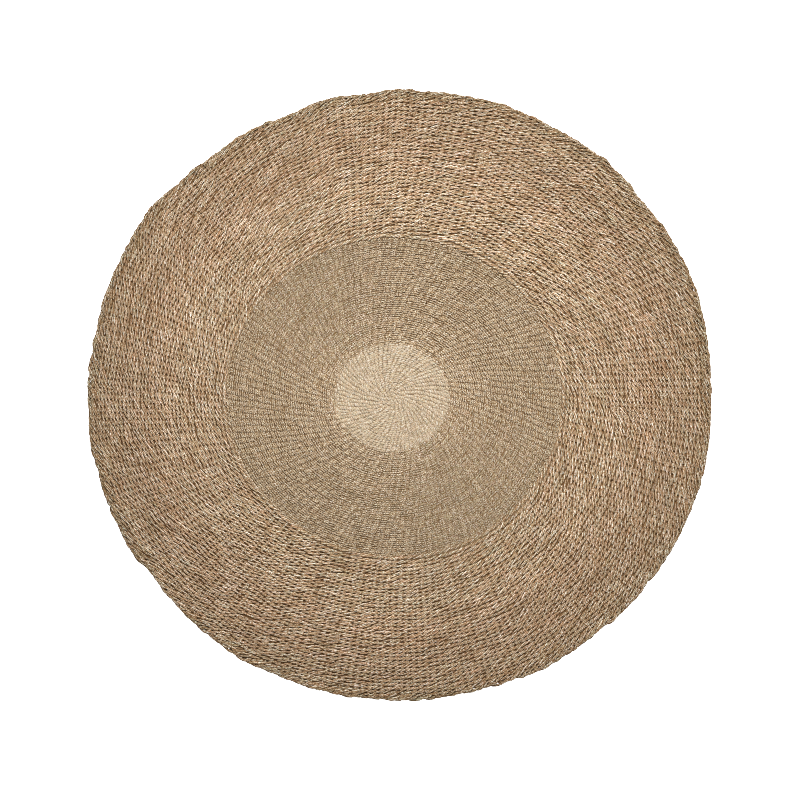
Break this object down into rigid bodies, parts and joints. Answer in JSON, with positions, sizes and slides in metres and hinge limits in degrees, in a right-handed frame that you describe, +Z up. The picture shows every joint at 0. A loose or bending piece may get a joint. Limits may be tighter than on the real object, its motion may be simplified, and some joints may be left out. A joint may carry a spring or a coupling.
{
  "type": "round seagrass rug",
  "caption": "Flat round rug twined from seagrass cord, with a pale middle disc, a fine field, a ring of coarse raised rows and a turned-back olive rim.",
  "frame": {"origin": "on the floor, under the middle of the rug's box", "axes": "+Z up out of the rug's upper face, +X along its long way, +Y away from the viewer"},
  "size_m": [2.0174, 1.9768, 0.015],
  "materials": {
    "coarse_seagrass": "dry two-ply seagrass cord, straw to reddish tan",
    "fine_seagrass": "fine seagrass cord, olive tan",
    "pale_seagrass": "fine pale straw cord",
    "rim_seagrass": "turned-back ends of olive seagrass"
  },
  "bodies": {
    "root": {"seagrass_rug": "coarse_seagrass"}
  },
  "joints": []
}
